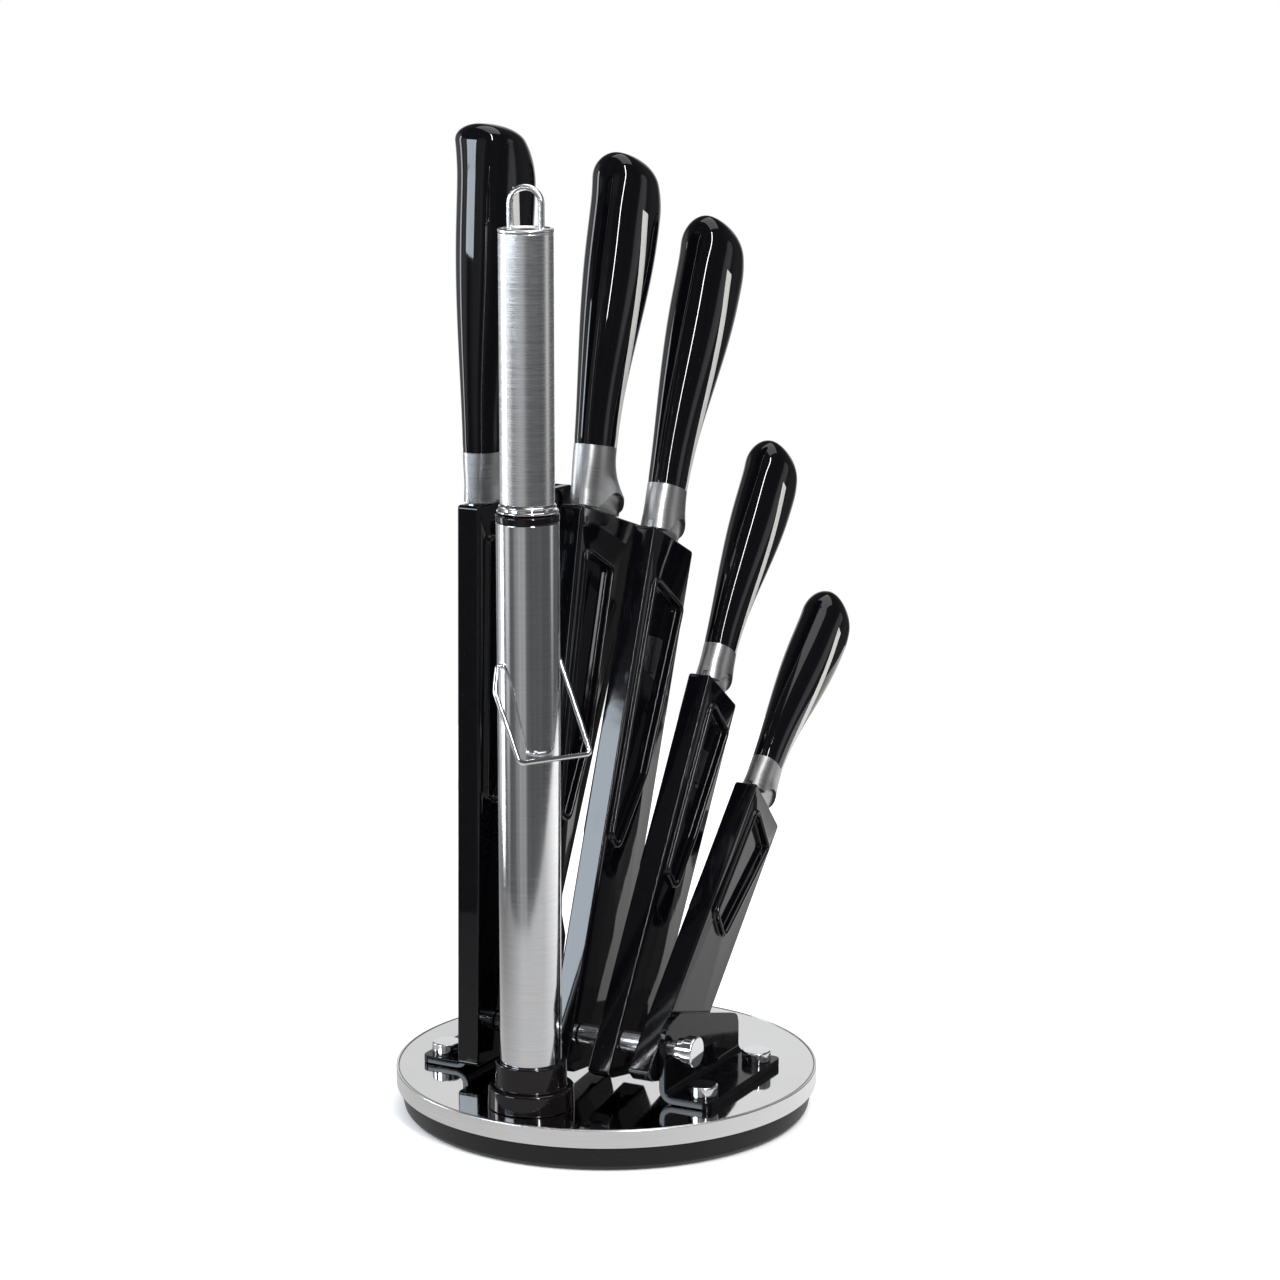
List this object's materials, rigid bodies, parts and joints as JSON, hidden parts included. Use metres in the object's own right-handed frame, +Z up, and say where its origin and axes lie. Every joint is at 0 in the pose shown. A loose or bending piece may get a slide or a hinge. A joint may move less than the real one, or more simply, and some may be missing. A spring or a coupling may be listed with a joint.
{
  "type": "rotating knife stand with honing steel",
  "caption": "Turntable stand with fanned knife sheaths on a cross rod, drawn knives, and a steel tube that stores a honing steel.",
  "frame": {"origin": "centre of the grip pad's underside, on the turntable's axis", "axes": "+Z up the turntable's axis, +X along the cross rod, +Y the way the sheaths fan out"},
  "size_m": [0.16, 0.2076, 0.3713],
  "materials": {
    "rubber": "matt",
    "satin_black": "satin",
    "gloss_black": "high gloss",
    "bracket_black": "gloss enamel",
    "polished_steel": "mirror polish",
    "satin_steel": "satin brushed",
    "chrome": "bright plate"
  },
  "bodies": {
    "foot": {"grip_pad": "rubber", "foot_pan": "satin_black", "lower_race": "satin_steel", "pivot_screw": "satin_steel", "pivot_nut": "satin_steel"},
    "ball_cage": {"ball_ring": "satin_steel"},
    "turntable": {"upper_race": "satin_steel", "turntable_plate": "polished_steel", "edge_ring": "satin_steel", "left_bracket": "bracket_black", "right_bracket": "bracket_black", "left_bolt_1": "chrome", "left_bolt_2": "chrome", "right_bolt_1": "chrome", "right_bolt_2": "chrome", "left_collar": "chrome", "right_collar": "chrome", "left_cap_nut": "chrome", "right_cap_nut": "chrome", "cross_rod": "satin_steel", "spacer_1": "satin_steel", "spacer_2": "satin_steel", "spacer_3": "satin_steel", "spacer_4": "satin_steel", "holder_cup": "gloss_black", "cup_screw": "satin_steel", "holder_tube": "polished_steel", "tube_collar": "gloss_black"},
    "sheath_1": {"sheath_tray_1": "gloss_black", "sheath_cover_1": "gloss_black"},
    "knife_1": {"knife_blade_1": "satin_steel", "knife_handle_1": "gloss_black"},
    "sheath_2": {"sheath_tray_2": "gloss_black", "sheath_cover_2": "gloss_black"},
    "knife_2": {"knife_blade_2": "satin_steel", "knife_handle_2": "gloss_black"},
    "sheath_3": {"sheath_tray_3": "gloss_black", "sheath_cover_3": "gloss_black"},
    "knife_3": {"knife_blade_3": "satin_steel", "knife_handle_3": "gloss_black"},
    "sheath_4": {"sheath_tray_4": "gloss_black", "sheath_cover_4": "gloss_black"},
    "knife_4": {"knife_blade_4": "satin_steel", "knife_handle_4": "gloss_black"},
    "sheath_5": {"sheath_tray_5": "gloss_black", "sheath_cover_5": "gloss_black"},
    "knife_5": {"knife_blade_5": "satin_steel", "knife_handle_5": "gloss_black"},
    "honing_steel": {"honing_rod": "satin_steel", "honing_ferrule": "chrome", "honing_handle": "satin_steel", "honing_cap": "satin_steel", "hanging_loop": "chrome"},
    "bail": {"wire_bail": "chrome"}
  },
  "joints": [
    {"name": "turntable_spin", "type": "hinge", "parent": "foot", "child": "turntable", "pos_m": [0, 0, 0], "axis": [0, 0, 1], "continuous": true},
    {"name": "ball_cage_spin", "type": "hinge", "parent": "foot", "child": "ball_cage", "pos_m": [0, 0, 0], "axis": [0, 0, 1], "continuous": true},
    {"name": "sheath_1_tilt", "type": "hinge", "parent": "turntable", "child": "sheath_1", "pos_m": [0, -0.0283, 0.0362], "axis": [-1, 0, 0], "range_deg": [-2.5, 2.5]},
    {"name": "knife_1_draw", "type": "slide", "parent": "sheath_1", "child": "knife_1", "axis": [0, 0.0192, 0.9998], "range_m": [0, 0.2]},
    {"name": "sheath_2_tilt", "type": "hinge", "parent": "turntable", "child": "sheath_2", "pos_m": [0, -0.0283, 0.0362], "axis": [-1, 0, 0], "range_deg": [-2, 1.5]},
    {"name": "knife_2_draw", "type": "slide", "parent": "sheath_2", "child": "knife_2", "axis": [0, 0.2045, 0.9789], "range_m": [0, 0.165]},
    {"name": "sheath_3_tilt", "type": "hinge", "parent": "turntable", "child": "sheath_3", "pos_m": [0, -0.0283, 0.0362], "axis": [-1, 0, 0], "range_deg": [-1.5, 2.5]},
    {"name": "knife_3_draw", "type": "slide", "parent": "sheath_3", "child": "knife_3", "axis": [0, 0.3469, 0.9379], "range_m": [0, 0.187]},
    {"name": "sheath_4_tilt", "type": "hinge", "parent": "turntable", "child": "sheath_4", "pos_m": [0, -0.0283, 0.0362], "axis": [-1, 0, 0], "range_deg": [-2.5, 4]},
    {"name": "knife_4_draw", "type": "slide", "parent": "sheath_4", "child": "knife_4", "axis": [0, 0.524, 0.8517], "range_m": [0, 0.137]},
    {"name": "sheath_5_tilt", "type": "hinge", "parent": "turntable", "child": "sheath_5", "pos_m": [0, -0.0283, 0.0362], "axis": [-1, 0, 0], "range_deg": [-2.5, 5]},
    {"name": "knife_5_draw", "type": "slide", "parent": "sheath_5", "child": "knife_5", "axis": [0, 0.7071, 0.7071], "range_m": [0, 0.107]},
    {"name": "honing_steel_draw", "type": "slide", "parent": "turntable", "child": "honing_steel", "axis": [0, 0, 1], "range_m": [0, 0.215]},
    {"name": "bail_swing", "type": "hinge", "parent": "turntable", "child": "bail", "pos_m": [-0.0007, -0.0573, 0.1826], "axis": [-0.4602, -0.8878, 0], "range_deg": [0, 120]}
  ],
  "couplings": [
    {"joint": "ball_cage_spin", "follows": "turntable_spin", "ratio": 0.5}
  ]
}
